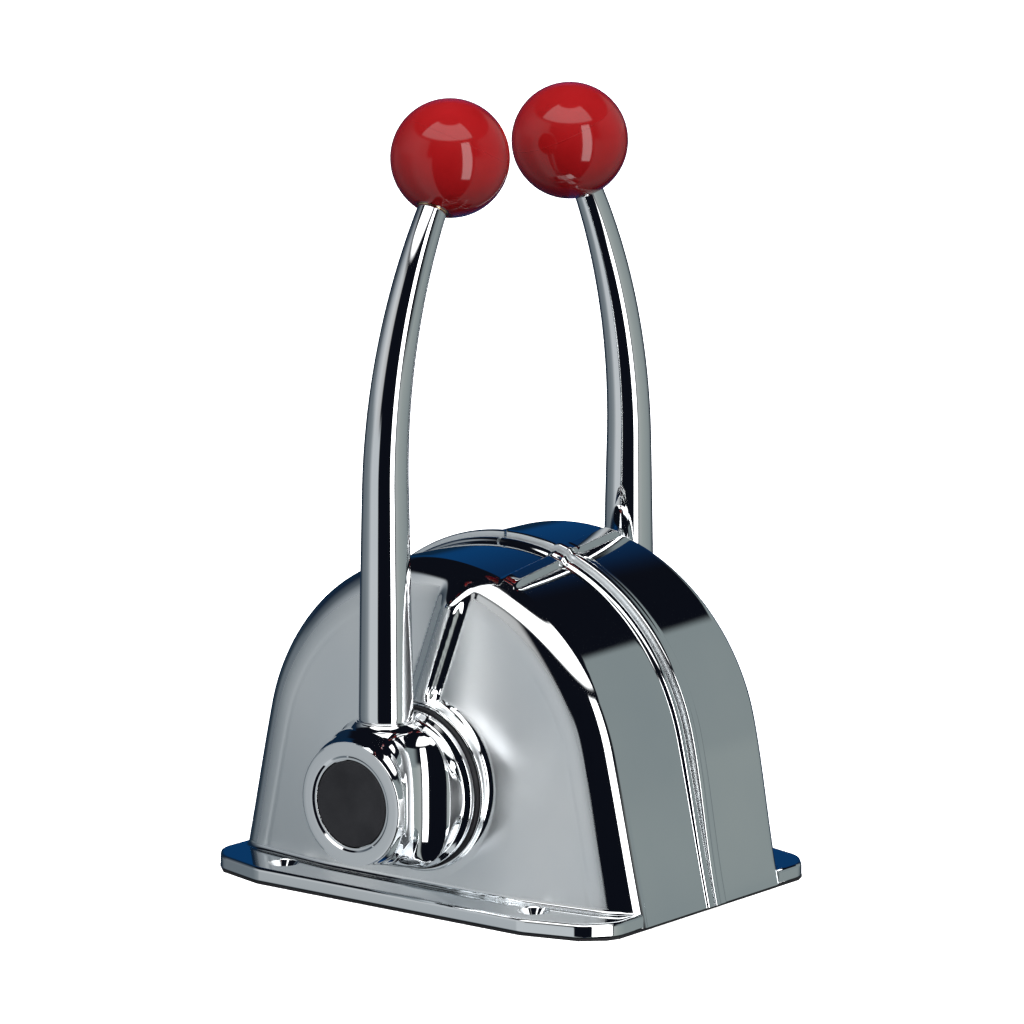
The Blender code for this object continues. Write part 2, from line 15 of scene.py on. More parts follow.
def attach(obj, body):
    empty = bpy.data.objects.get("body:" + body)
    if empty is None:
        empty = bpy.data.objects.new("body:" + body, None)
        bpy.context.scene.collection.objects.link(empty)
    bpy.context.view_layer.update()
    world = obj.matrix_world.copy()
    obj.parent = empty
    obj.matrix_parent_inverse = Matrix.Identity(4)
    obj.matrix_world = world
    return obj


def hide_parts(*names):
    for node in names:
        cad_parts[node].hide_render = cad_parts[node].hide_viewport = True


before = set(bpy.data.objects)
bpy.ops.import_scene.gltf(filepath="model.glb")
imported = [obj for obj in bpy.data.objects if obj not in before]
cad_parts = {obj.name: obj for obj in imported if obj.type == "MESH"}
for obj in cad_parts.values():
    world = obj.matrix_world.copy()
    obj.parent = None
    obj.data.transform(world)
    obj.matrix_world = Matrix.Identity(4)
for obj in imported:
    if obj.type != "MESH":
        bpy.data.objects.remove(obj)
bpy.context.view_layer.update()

MM = 0.001

# Housing
HUB_Z = 47.5
LEG_LEAN = math.radians(13.5)
BASE_Z = 1.5
SIDE_X = 56.4
WALL = 3.2
SEAM_X = 0.15
CROWN_R = {-1: 91.5, 1: 93.2}
SIDE_REACH = 16.0
FACE_R = 90.6
FOOT_PULL = 1.08
FLARE_TOP_Z = 90.0
FLARE_START = 8.0
FLARE_GROWTH = 0.0017
FLARE_CAP = (6.1, 0.09)  # the swell's limit at the flange's top, and how much of it goes per mm of height
SIDE_DRAFT = 0.03
SIDE_BOW = 1.6
BOSS_R = 35.0
BOSS_X = 63.0
BOSS_EDGE_R = 1.3
BOSS_FILLET = 3.6
INNER_BOSS = (37.0, 15.0)  # x of its face, radius
BUSHING_BORE = (62.0, 10.3)  # x of its outer end, radius
FLANGE_TOP = 7.0
FLANGE_X = 81.8
FLANGE_Y = 103.5
MOUNT_HOLE = (68.0, 65.0)  # x, y
SEAM_BOLTS = ((0, 127.5), (-89, 25), (89, 25))  # y, z
BRAKE_POST = ((20, -32, HUB_Z - 7), (55, -24, HUB_Z + 7))
ANCHOR_LUG = ((36, 31, 4), (58, 57, 14))
RIB_H = 1.9
# The side rib's section: the distance across it, and its surface's angle in degrees.
SIDE_RIB_SLOPE = [(-8.2, 0), (-7.2, 25), (-6.3, 48), (-5.4, 61), (-4.8, 67), (-4.4, 64), (-4.0, 52),
                  (-3.4, 34), (-2.6, 16), (-1.5, 3), (0.0, -9), (1.5, -20), (3.0, -30), (5.0, -38),
                  (6.8, -36), (8.0, -22), (8.8, 0)]
NOTCH = (2.0, 3.3)  # y of the beads' cross notch at its two ends
RIB_MIDDLE_Y = -26.5
RIB_SLANT = 0.17
SIDE_RIB_ROOT = (-0.4, 84.0)
SIDE_RIB_LEAN = math.radians(19.3)
SATIN = 0.32

# Lever
KNOB = Vector((39.4, 0, 300.6))
KNOB_R = 24.0
KNOB_SEAT = 22.6
ARM_BEND_R = 216.0
ARM_BEND = math.radians(30)
ARM_TAIL = 2.5
ARM_WAY = Vector((-math.sin(ARM_BEND), 0, math.cos(ARM_BEND)))
ARM_TIP = KNOB - ARM_WAY * KNOB_SEAT
ARM_BEND_END = ARM_TIP - ARM_WAY * ARM_TAIL
ARM_X = ARM_BEND_END.x + ARM_BEND_R * (1 - math.cos(ARM_BEND))
ARM_BEND_Z = ARM_BEND_END.z - ARM_BEND_R * math.sin(ARM_BEND)
COLLAR_Z = 78.6
CAP_R = 17.56


# ---------------------------------------------------------------- mesh helpers
def grid_faces(rows, columns, wrap=False):
    """Quads over a rows x columns grid of points, closed along its columns if wrap."""
    last = columns if wrap else columns - 1
    r, c = np.meshgrid(np.arange(rows - 1), np.arange(last), indexing="ij")
    n = (c + 1) % columns
    quads = np.stack([r * columns + c, r * columns + n, (r + 1) * columns + n, (r + 1) * columns + c], -1)
    return quads.reshape(-1, 4)


def joined(*parts):
    """Several (points, quads) as one."""
    points, quads, start = [], [], 0
    for p, q in parts:
        points.append(p.reshape(-1, 3))
        quads.append(q + start)
        start += len(points[-1])
    return np.concatenate(points), np.concatenate(quads)


def welded(points, quads, step=2e-3):
    """Points closer than step become one, and faces left with no area go."""
    points = points.reshape(-1, 3)
    _, first, inverse = np.unique(np.round(points / step), axis=0, return_index=True, return_inverse=True)
    faces = []
    for quad in inverse.reshape(-1)[quads]:
        ring = [int(v) for i, v in enumerate(quad) if v != quad[i - 1]]
        if len(set(ring)) == len(ring) and len(ring) > 2:
            faces.append(ring)
    return points[first], faces


def piece(name, shape, finish, body, nodes, sharp, side):
    """One shown piece from (points, faces), riding on a CAD body in place of the CAD nodes."""
    points, faces = welded(*shape)
    points = points * np.array([side, 1, 1])
    mesh = bpy.data.meshes.new(name)
    mesh.from_pydata((points * MM).tolist(), [], faces)
    work = bmesh.new()
    work.from_mesh(mesh)
    bmesh.ops.recalc_face_normals(work, faces=work.faces)
    work.to_mesh(mesh)
    work.free()
    mesh.shade_smooth()
    mesh.set_sharp_from_angle(angle=math.radians(sharp))
    mesh.materials.append(finish)
    obj = bpy.data.objects.new(name, mesh)
    bpy.context.scene.collection.objects.link(obj)
    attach(obj, body)
    if nodes:
        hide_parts(*nodes)


def rounded(corners, steps=6):
    """A polyline from (along, out, radius) corners, each corner turned with its radius."""
    points = [np.array(c[:2], float) for c in corners]
    path = [points[0]]
    for i in range(1, len(points) - 1):
        radius = corners[i][2]
        a, b = points[i - 1] - points[i], points[i + 1] - points[i]
        la, lb = np.linalg.norm(a), np.linalg.norm(b)
        a, b = a / la, b / lb
        turn = math.acos(max(-1.0, min(1.0, float(a @ b))))
        if radius <= 0 or turn > math.pi - 0.02:
            path.append(points[i])
            continue
        reach = min(radius / math.tan(turn / 2), 0.49 * la, 0.49 * lb)
        radius = reach * math.tan(turn / 2)
        middle = a + b
        centre = points[i] + middle / np.linalg.norm(middle) * (radius / math.sin(turn / 2))
        start, end = points[i] + a * reach - centre, points[i] + b * reach - centre
        sweep = math.pi - turn
        for k in range(steps + 1):
            t = k / steps
            mix = (math.sin((1 - t) * sweep) * start + math.sin(t * sweep) * end) / math.sin(sweep)
            path.append(centre + mix)
    path.append(points[-1])
    return path


def split(path, longest):
    """The same polyline with no stretch longer than the given length."""
    out = [path[0]]
    for a, b in zip(path, path[1:]):
        count = max(1, math.ceil(np.linalg.norm(b - a) / longest))
        out += [a + (b - a) * (k + 1) / count for k in range(count)]
    return out


def turned(path, steps=160, centre=(0, 0, HUB_Z), way=(1, 0, 0)):
    """A surface turned from (along, out) points about the line through centre."""
    way = Vector(way).normalized()
    side = Vector((0, 1, 0)).cross(way).normalized()
    up = way.cross(side)
    angle = np.linspace(0, math.tau, steps, endpoint=False)
    ring = np.outer(np.cos(angle), side) + np.outer(np.sin(angle), up)
    along = np.array([p[0] for p in path])[:, None, None] * np.array(way)
    out = np.array([p[1] for p in path])[:, None, None] * ring[None]
    points = np.array(centre) + along + out
    return points, grid_faces(len(path), steps, wrap=True)


def smooth(x):
    x = np.clip(x, 0, 1)
    return x * x * (3 - 2 * x)


def soft_max(a, b, k):
    return 0.5 * (a + b + np.sqrt((a - b) ** 2 + k * k)) - 0.5 * k


# ---------------------------------------------------------------- housing
def leg_y(radius, z):
    """How far out the leaning leg of the outline stands at a height."""
    return radius * math.cos(LEG_LEAN) + (HUB_Z + radius * math.sin(LEG_LEAN) - z) * math.tan(LEG_LEAN)


def outline(s, radius, pull):
    """(y, z, outward y, outward z) on the side outline: s 0..1 front leg, 1..2 arc, 2..3 rear leg.

    The legs' feet are drawn in by pull.
    """
    lean = LEG_LEAN
    tangent_y = radius * math.cos(lean)
    tangent_z = HUB_Z + radius * math.sin(lean)
    foot_y = leg_y(radius, BASE_Z)
    angle = math.pi - lean - (math.pi - 2 * lean) * np.clip(s - 1, 0, 1)
    up = np.where(s < 1, s, np.where(s > 2, 3 - s, 1.0))
    on_leg = (s < 1) | (s > 2)
    out = foot_y + (tangent_y - foot_y) * up - pull * smooth(1 - up)
    y = np.where(on_leg, out * np.where(s < 1.5, -1, 1), radius * np.cos(angle))
    z = np.where(on_leg, BASE_Z + (tangent_z - BASE_Z) * up, HUB_Z + radius * np.sin(angle))
    return y, z, np.cos(angle), np.sin(angle)


def notch_columns(radius):
    """Where the cross notch in the beads needs columns, as s values."""
    low, high = NOTCH
    ys = [low - 0.4, low, low + 0.1, high - 0.6, high, high + 0.1, high + 0.5]
    angles = [math.acos(y / radius) for y in ys]
    return [1 + (math.pi - LEG_LEAN - a) / (math.pi - 2 * LEG_LEAN) for a in angles]


def rib_column(radius, x):
    """The s value of the crown rib's middle line at x, positive towards the right end."""
    angle = math.pi - np.arccos((RIB_MIDDLE_Y + RIB_SLANT * x) / radius)
    return 1 + (angle - LEG_LEAN) / (math.pi - 2 * LEG_LEAN)


def column_values(radius, leg=34, crown=110):
    """The columns' s values: even ones, denser at the notch, across the crown rib and over the side rib."""
    s = np.concatenate([np.linspace(0, 1, leg, endpoint=False),
                        np.linspace(1, 2, crown, endpoint=False), np.linspace(2, 3, leg + 1)])
    turn = math.pi - 2 * LEG_LEAN
    middle = rib_column(radius, 0.0)
    notch = notch_columns(radius)
    rib = middle + np.linspace(-6, 6, 49) / radius / turn
    upright = 1 + (math.pi - LEG_LEAN - np.radians(np.arange(102.0, 73.0, -0.33))) / turn
    upright = upright[(upright > max(rib) + 0.001) & (upright < min(notch) - 0.001)]
    for near in (notch, rib, upright):
        s = s[(s < min(near) - 0.002) | (s > max(near) + 0.002)]
    return np.sort(np.concatenate([s, notch, rib, upright]))


def slanted(s, radius, x):
    """The columns shifted at x so that those about the crown rib run along it."""
    middle = rib_column(radius, 0.0)
    pull = 1 - smooth((np.abs(s - middle) - 0.05) / 0.07)
    return s + (rib_column(radius, x) - middle) * pull


def ridge(distance, core, outer, height):
    return height * (1 - smooth((np.abs(distance) - core) / (outer - core)))


def crown_rib(side, x, y):
    """The index rib's height over the top: it runs on one slant across both halves."""
    arc = CROWN_R[1] * np.arcsin(np.clip(y / CROWN_R[1], -1, 1))
    centre = RIB_MIDDLE_Y + RIB_SLANT * side * x
    middle = CROWN_R[1] * np.arcsin(centre / CROWN_R[1])
    fade = 1 - smooth((x - 40) / 9)
    return ridge(arc - middle, 2.4, 4.8, RIB_H) * fade


def rib_section(rows):
    """The side rib's height over the distance across it, from (distance, slope angle) rows."""
    across, angle = np.array(rows, float).T
    fine = np.linspace(across[0], across[-1], 800)
    slope = np.tan(np.radians(np.interp(fine, across, angle)))
    height = np.concatenate([[0.0], np.cumsum((slope[1:] + slope[:-1]) / 2 * np.diff(fine))])
    return fine, height - height[-1] * np.linspace(0, 1, 800)


RIB_AT, RIB_RISE = rib_section(SIDE_RIB_SLOPE)


def side_rib(y, z):
    """The index rib's height up the side face, until it fades into the rounded shoulder."""
    c, s = math.cos(SIDE_RIB_LEAN), math.sin(SIDE_RIB_LEAN)
    dy, dz = y - SIDE_RIB_ROOT[0], z - SIDE_RIB_ROOT[1]
    along = -s * dy + c * dz
    across = c * dy + s * dz
    fade = smooth((along + 14) / 6) * (1 - smooth((along - 40) / 11))
    return np.interp(across, RIB_AT, RIB_RISE) * fade


# The rounded edge: the distance in from the outline, and the surface's angle from the side face.
EDGE_ANGLE = [(0, 90), (0.1, 78), (0.3, 65), (0.5, 62), (2.4, 49), (4.0, 41), (6.0, 32), (8.0, 24),
              (10.5, 15), (13, 6), (16, 0)]


def edge_drop():
    """How far the rounded edge falls short of the side face, over the distance in from the outline."""
    inward, angle = np.array(EDGE_ANGLE, float).T
    fine = SIDE_REACH * np.linspace(0, 1, 1600) ** 2
    slope = np.tan(np.radians(np.minimum(np.interp(fine, inward, angle), 86)))
    steps = (slope[1:] + slope[:-1]) / 2 * np.diff(fine)
    drop = np.concatenate([np.cumsum(steps[::-1])[::-1], [0.0]])
    return fine, drop


DROP_AT, DROP = edge_drop()


def inward_distance(y, z):
    """How far a point of the side face lies inside its outline."""
    leg = (leg_y(FACE_R, z) - np.abs(y)) * math.cos(LEG_LEAN)
    return np.where(z - HUB_Z > np.abs(y) * math.tan(LEG_LEAN), FACE_R - np.hypot(y, z - HUB_Z), leg)


def side_face(y, z):
    """How far out the side stands at (y, z): rounded at its edge, slightly bowed, swelling to its foot."""
    inward = inward_distance(y, z)
    height = soft_max(FLARE_TOP_Z - z, 0.0, 14.0)
    flare = FLARE_GROWTH * height * soft_max(inward - FLARE_START, 0.0, 6.0)
    cap = FLARE_CAP[0] - FLARE_CAP[1] * (z - FLANGE_TOP)
    cap = soft_max(cap, SIDE_DRAFT * (FLARE_TOP_Z - z), 1.0)
    bow = SIDE_BOW * (y / FACE_R) ** 2
    return SIDE_X - np.interp(inward, DROP_AT, DROP) - soft_max(-flare, -cap, 0.5) - bow


# The seam bead of each half, and the strip beside the right one: (x, height over the crown).
BEADS = {
    -1: [(0.15, 0.6), (0.2, 1.0), (0.35, 1.35), (0.6, 1.58), (0.9, 1.7), (1.6, 1.8), (2.4, 1.83), (3.1, 1.75),
         (3.7, 1.55), (4.1, 1.25), (4.4, 0.85), (4.62, 0.45), (4.85, 0.15), (5.2, 0.02), (5.7, 0)],
    1: [(0.15, 1.2), (0.2, 1.7), (0.35, 2.05), (0.6, 2.28), (0.9, 2.4), (1.6, 2.5), (2.4, 2.5), (2.9, 2.4),
        (3.3, 2.1), (3.5, 1.75), (3.65, 1.5), (3.9, 1.4), (5.4, 1.42), (7.2, 1.42), (7.7, 1.3), (7.95, 1.0),
        (8.1, 0.5), (8.3, 0.12), (8.7, 0.0)],
}


def ring_at(x, radius, ray):
    """Points at a radius about the hub's axis, at the angles in ray."""
    return np.stack([x + 0 * ray, radius * np.cos(ray), HUB_Z + radius * np.sin(ray)], -1)


def outer_skin(side):
    """The chrome outside of one half: beads, crown and rounded edge, then the side face and its boss."""
    radius = CROWN_R[side]
    pull = FOOT_PULL * (radius - FACE_R)
    s = column_values(radius)
    beads = BEADS[side]
    start_x = beads[-1][0]
    rows = []

    def row(x, inward, angle):
        """One row at x, its distance in from the outline, and its normal's angle from the side's."""
        y, z, cy, cz = outline(slanted(s, radius, side * np.mean(x)), radius - inward, pull)
        turn = math.radians(angle)
        crown = crown_rib(side, x, y) * math.sin(turn)
        upright = side_rib(y, z) * math.cos(turn)
        rows.append(np.stack([x + upright, y + crown * cy, z + crown * cz], -1))

    def bead_row(x, high):
        """One row of the bead, cut through at the notch and lower towards the foot."""
        y, z, cy, cz = outline(slanted(s, radius, side * x), radius, pull)
        bump = crown_rib(side, np.full_like(y, x), y) * 0.55
        cut = smooth((y - NOTCH[0]) / 0.1) - smooth((y - NOTCH[1]) / 0.1)
        notch = 1 - cut * (z > HUB_Z) * 0.95
        lift = high * notch * (1 - 0.3 * smooth((70 - z) / 60)) + bump
        rows.append(np.stack([x + 0 * y, y + lift * cy, z + lift * cz], -1))

    y, z, _, _ = outline(s, radius - WALL, pull)
    rows.append(np.stack([SEAM_X + 0 * y, y, z], -1))
    for x, high in beads:
        bead_row(x, high)
    y, z, _, _ = outline(slanted(s, radius, side * (SIDE_X - DROP[0])), radius, pull)
    edge_x = side_face(y, z)
    for t in np.linspace(0, 1, 34)[1:]:
        row(start_x + (edge_x - start_x) * t, 0.0, 90)
    inward, angle = np.array(EDGE_ANGLE, float).T
    for d in SIDE_REACH * np.linspace(0, 1, 44)[1:] ** 2:
        x = SIDE_X - float(np.interp(d, DROP_AT, DROP))
        y, z, _, _ = outline(slanted(s, radius, side * x), radius - d, pull)
        # side_face rounds off in from FACE_R, and these rows round off in from this half's own outline
        shift = np.interp(inward_distance(y, z), DROP_AT, DROP) - np.interp(d, DROP_AT, DROP)
        row(side_face(y, z) + shift, d, float(np.interp(d, inward, angle)))
    crown = np.array(rows)
    x, y, z = crown[-1].T
    floor_y = np.linspace(y[-1], y[0], 60)[1:-1]
    loop_y = np.concatenate([y, floor_y])
    loop_z = np.concatenate([z, np.full_like(floor_y, BASE_Z)])
    ray = np.arctan2(loop_z - HUB_Z, loop_y)
    near = BOSS_R + BOSS_FILLET
    start = np.concatenate([x, side_face(floor_y, np.full_like(floor_y, BASE_Z))])
    face = []
    for t in np.linspace(0, 1, 80):
        y = loop_y + (near * np.cos(ray) - loop_y) * t
        z = loop_z + (HUB_Z + near * np.sin(ray) - loop_z) * t
        surface = side_face(y, z) + side_rib(y, z)
        hold = 1 - smooth(t * 12)
        face.append(np.stack([surface + (start - surface) * hold, y, z], -1))
    foot = face[-1][:, 0]
    lip = BOSS_X - BOSS_EDGE_R
    rise = np.maximum(np.minimum(BOSS_FILLET, lip - foot), 0)
    for a in np.linspace(0, math.pi / 2, 13)[1:]:
        face.append(ring_at(foot + rise * (1 - math.cos(a)), BOSS_R + BOSS_FILLET * (1 - math.sin(a)), ray))
    boss_edge = [(lip - 0.6, BOSS_R, 0), (BOSS_X, BOSS_R, BOSS_EDGE_R), (BOSS_X, 14, 0)]
    for x, r in rounded(boss_edge, 7)[1:]:
        face.append(ring_at(np.maximum(x, np.minimum(foot, BOSS_X)), r, ray))
    face = np.array(face)
    return joined((crown, grid_faces(*crown.shape[:2])), (face, grid_faces(*face.shape[:2], wrap=True)))


def inner_skin(side):
    """The rough inside of the casting, one wall in from the outside."""
    radius = CROWN_R[side] - WALL
    pull = FOOT_PULL * (CROWN_R[side] - FACE_R)
    s = np.concatenate([np.linspace(0, 1, 24), np.linspace(1, 2, 50)[1:], np.linspace(2, 3, 24)[1:]])
    rows = []
    edge_x = 37.5
    for x in (SEAM_X, 12, 25, edge_x):
        y, z, _, _ = outline(s, radius, pull)
        rows.append(np.stack([x + 0 * y, y, z], -1))
    for d in SIDE_REACH * np.linspace(0, 1, 12)[1:] ** 1.6:
        y, z, _, _ = outline(s, radius - d, pull)
        rows.append(np.stack([np.maximum(side_face(y, z) - WALL, edge_x + 0.2 * d), y, z], -1))
    crown = np.array(rows)
    x, y, z = rows[-1].T
    floor_y = np.linspace(y[-1], y[0], 30)[1:-1]
    loop_y = np.concatenate([y, floor_y])
    loop_z = np.concatenate([z, np.full_like(floor_y, BASE_Z)])
    ray = np.arctan2(loop_z - HUB_Z, loop_y)
    boss_x, boss_r = INNER_BOSS
    bore_x, bore_r = BUSHING_BORE
    near = boss_r + 1.5
    face = []
    for t in np.linspace(0, 1, 16):
        y = loop_y + (near * np.cos(ray) - loop_y) * t
        z = loop_z + (HUB_Z + near * np.sin(ray) - loop_z) * t
        face.append(np.stack([side_face(y, z) - WALL, y, z], -1))
    for x, r in ((boss_x + 15, boss_r), (boss_x + 0.6, boss_r), (boss_x, boss_r - 0.6), (boss_x, bore_r),
                 (bore_x, bore_r)):
        face.append(ring_at(x, r, ray))
    face = np.array(face)
    return joined((crown, grid_faces(*crown.shape[:2])), (face, grid_faces(*face.shape[:2], wrap=True)))


def foot_fillet():
    """The small hollow fillet where the side face runs out onto the flange's ear."""
    foot = leg_y(FACE_R, FLANGE_TOP)
    y = np.concatenate([foot - 0.2 - 18 * np.linspace(0, 1, 22) ** 2, np.linspace(foot - 18.2, 0, 40)[1:]])
    y = np.concatenate([-y, y[::-1][1:]])
    x = side_face(y, np.full_like(y, FLANGE_TOP))
    along = np.stack([np.gradient(x), np.gradient(y)], -1)
    along /= np.linalg.norm(along, axis=1)[:, None]
    size = 2.2 * smooth((foot - np.abs(y) - 0.4) / 7) + 0.05
    rows = []
    for a in np.linspace(0, math.pi / 2, 8):
        out, up = size * (1 - math.sin(a)) - 0.12, size * (1 - math.cos(a))
        rows.append(np.stack([x + along[:, 1] * out, y - along[:, 0] * out, FLANGE_TOP - 0.03 + up], -1))
    rows = np.array(rows)
    return rows, grid_faces(*rows.shape[:2])


def flange_path(inset):
    """The flange's outer edge on the right half, from front to rear, moved inwards."""
    corners = [(46.5, -FLANGE_Y, 0), (63, -FLANGE_Y, 12), (74.5, -94, 14), (FLANGE_X, -68.8, 16),
               (FLANGE_X, 68.8, 16), (74.5, 94, 14), (63, FLANGE_Y, 12), (46.5, FLANGE_Y, 0)]
    path = np.array(split(rounded(corners, 10), 12))
    along = np.gradient(path, axis=0)
    along /= np.linalg.norm(along, axis=1)[:, None]
    inward = np.stack([-along[:, 1], along[:, 0]], -1)
    inward[0], inward[-1] = (0, 1), (0, -1)
    return path + inward * inset


def flange(side):
    """The ear of the foot at one side, with a rounded upper edge and no holes yet."""
    edge_r = 1.7
    rows = [(BASE_Z, 0.5), (BASE_Z + 0.15, 0.15), (BASE_Z + 0.5, 0)]
    for a in np.linspace(0, math.pi / 2, 9):
        rows.append((FLANGE_TOP - edge_r + edge_r * math.sin(a), edge_r * (1 - math.cos(a))))
    mesh = bmesh.new()
    verts = [[mesh.verts.new((side * x * MM, y * MM, z * MM)) for x, y in flange_path(inset)]
             for z, inset in rows]
    count = len(verts[0])
    for low, high in zip(verts, verts[1:]):
        for i in range(count):
            j = (i + 1) % count
            mesh.faces.new((low[i], low[j], high[j], high[i]))
    mesh.faces.new(verts[0][::-1])
    mesh.faces.new(verts[-1])
    bmesh.ops.recalc_face_normals(mesh, faces=mesh.faces)
    return mesh


def countersink(x, y):
    """What each mounting screw hole takes out of the flange."""
    profile = rounded([(-1, 0.001, 0), (-1, 3.2, 0), (3.6, 3.2, 0.3), (FLANGE_TOP - 0.35, 6.35, 0.5),
                       (FLANGE_TOP + 0.4, 6.75, 0), (FLANGE_TOP + 4, 6.8, 0), (FLANGE_TOP + 4, 0.001, 0)], 4)
    points, quads = turned(profile, 64, (x, y, 0), (0, 0, 1))
    points, faces = welded(points, quads)
    shape = bmesh.new()
    verts = [shape.verts.new(p * MM) for p in points]
    for face in faces:
        shape.faces.new([verts[i] for i in face])
    bmesh.ops.holes_fill(shape, edges=shape.edges)
    bmesh.ops.recalc_face_normals(shape, faces=shape.faces)
    return shape


def object_from(name, shape):
    mesh = bpy.data.meshes.new(name)
    shape.to_mesh(mesh)
    shape.free()
    obj = bpy.data.objects.new(name, mesh)
    bpy.context.scene.collection.objects.link(obj)
    return obj


def make_flange(name, side, finish):
    """The ear with its two countersunk mounting holes, riding on the housing."""
    obj = object_from(name, flange(side))
    helpers = []
    for y in (-MOUNT_HOLE[1], MOUNT_HOLE[1]):
        helper = object_from("cutter", countersink(side * MOUNT_HOLE[0], y))
        cut = obj.modifiers.new("cut", "BOOLEAN")
        cut.operation, cut.object, cut.solver = "DIFFERENCE", helper, "EXACT"
        helpers.append(helper)
    # Weighted once before the sharp edges are marked and once after: both passes show in the highlights.
    even = obj.modifiers.new("even", "WEIGHTED_NORMAL")
    even.weight, even.keep_sharp = 80, True
    shape = bpy.data.meshes.new_from_object(obj.evaluated_get(bpy.context.evaluated_depsgraph_get()))
    obj.modifiers.clear()
    obj.data = shape
    for helper in helpers:
        bpy.data.objects.remove(helper)
    shape.shade_smooth()
    shape.set_sharp_from_angle(angle=math.radians(35))
    shape.materials.clear()
    shape.materials.append(finish)
    even = obj.modifiers.new("even", "WEIGHTED_NORMAL")
    even.weight, even.keep_sharp = 80, True
    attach(obj, "housing")


# ---------------------------------------------------------------- lever
# The hub's section as (x, radius, corner radius). NECK is the hollow's centre (x, radius) and its own radius.
NECK = (92.0, 34.5, 14.0)
HUB_PROFILE = [(65, 24, 0), (65, 32.9, 0.6), (67.5, 32.9, 0.7), (68.9, 30.4, 1.0), (72, 30.2, 1),
               (77.6, 30.2, 1.5)]
HUB_PROFILE += [(NECK[0] - NECK[2] * math.sin(a), NECK[1] - NECK[2] * math.cos(a), 0)
                for a in np.linspace(1.22, -0.36, 40)]
HUB_PROFILE += [(99.8, 25.1, 1.6), (103.8, 25.1, 0.9), (103.8, 19.7, 0.35), (103.05, 18.8, 0.3),
                (103.05, 17.95, 0.15), (98, 17.9, 0), (98, 6.3, 0)]
# Over x: how square the hub's section is, and how far it reaches below and above its axis.
HUB_SQUARE = [(70, 2.0), (74, 2.3), (80, 3.2), (94, 3.4), (99, 2.4), (102, 2.0)]
HUB_LOW = [(68.9, 30.4), (77, 30.2), (84, 28.5), (92, 26.2), (99, 25.1), (103.8, 25.1)]
HUB_TOP = [(68.9, 30.4), (80, 30.2), (90, 29.4), (95, 28.2), (100, 26.1), (103, 25.1), (103.8, 25.1)]


def table(rows, x):
    at, value = np.array(rows, float).T
    return np.interp(x, at, value)


def hub_side(x):
    """The hub's half width over x, from its flange to its face."""
    path = np.array([q for q in rounded(HUB_PROFILE, 8) if 68.95 < q[0] < 103.79 and q[1] > 20.3])
    order = np.argsort(path[:, 0])
    return np.interp(x, path[order, 0], path[order, 1])


def hub_height(x, y):
    """How high the hub's top stands at (x, y)."""
    power = table(HUB_SQUARE, x)
    share = np.clip(np.abs(y) / hub_side(x), 0, 0.995)
    return HUB_Z + table(HUB_TOP, x) * (1 - share ** power) ** (1 / power)


def hub():
    """The hub: round at its flange and its face, with upright hollows down both sides between them."""
    points, quads = turned(split(rounded(HUB_PROFILE, 8), 1.5), 200)
    x, y, z = points[..., 0], points[..., 1], points[..., 2] - HUB_Z
    r = np.hypot(y, z)
    c, s = np.abs(y) / r, np.abs(z) / r
    power = table(HUB_SQUARE, x)
    tall = np.where(z > 0, table(HUB_TOP, x), table(HUB_LOW, x))
    shaped = ((c / r) ** power + (s / tall) ** power) ** (-1 / power)
    outer = (x > 68.9) & (x < 103.79) & (r > 20)
    scale = np.where(outer, shaped / r, 1.0)
    return np.stack([x, y * scale, HUB_Z + z * scale], -1), quads


def bar_radius(share):
    """The bar's radius at a share of its length from the root."""
    return 11.1 - 2.6 * share - 2.5 * share * share


def bar():
    """The lever's bar: straight up from its collar, then bent in towards the knob."""
    start = COLLAR_Z - 1.0
    straight = np.linspace(start, ARM_BEND_Z, 30)
    path = [(Vector((ARM_X, 0, z)), Vector((0, 0, 1))) for z in straight]
    centre = Vector((ARM_X - ARM_BEND_R, 0, ARM_BEND_Z))
    for a in np.linspace(0, ARM_BEND, 50)[1:]:
        out = Vector((math.cos(a), 0, math.sin(a)))
        path.append((centre + out * ARM_BEND_R, Vector((-math.sin(a), 0, math.cos(a)))))
    path.append((ARM_TIP, ARM_WAY))
    lengths = [0.0]
    for (a, _), (b, _) in zip(path, path[1:]):
        lengths.append(lengths[-1] + (b - a).length)
    angle = np.linspace(0, math.tau, 72, endpoint=False)
    rows = []
    for (point, way), length in zip(path, lengths):
        side = Vector((0, 1, 0)).cross(way).normalized()
        r = bar_radius(length / lengths[-1])
        ring = np.outer(np.cos(angle), side) + np.outer(np.sin(angle), (0, 1, 0))
        rows.append(np.array(point) + r * ring)
    root = np.array((ARM_X, 0, start))
    rows.insert(0, root + (rows[0] - root) * 0.9 - np.array((0, 0, 2)))
    rows.append(np.array(ARM_TIP + ARM_WAY * 2) + (rows[-1] - np.array(ARM_TIP)) * 0.6)
    rows = np.array(rows)
    return rows, grid_faces(*rows.shape[:2], wrap=True)


def collar():
    """The socket rim that the bar stands in, with a hollow fillet running out over the hub."""
    angle = np.linspace(0, math.tau, 144, endpoint=False)
    wall, reach, lip = 11.9, 3.2, 0.7
    rows = []

    def level(r, z):
        rows.append(np.stack([ARM_X + r * np.cos(angle), r * np.sin(angle), z + 0 * angle], -1))

    for a in np.linspace(0, math.pi / 2, 14):
        r = wall + reach * (1 - math.sin(a))
        top = hub_height(ARM_X + r * np.cos(angle), r * np.sin(angle))
        level(r, np.minimum(top + reach * (1 - math.cos(a)) - 0.05, COLLAR_Z - lip))
    for a in np.linspace(0, math.pi / 2, 7):
        level(wall - lip * (1 - math.cos(a)), COLLAR_Z - lip + lip * math.sin(a))
    level(10.6, COLLAR_Z - 0.3)
    rows = np.array(rows)
    return rows, grid_faces(*rows.shape[:2], wrap=True)


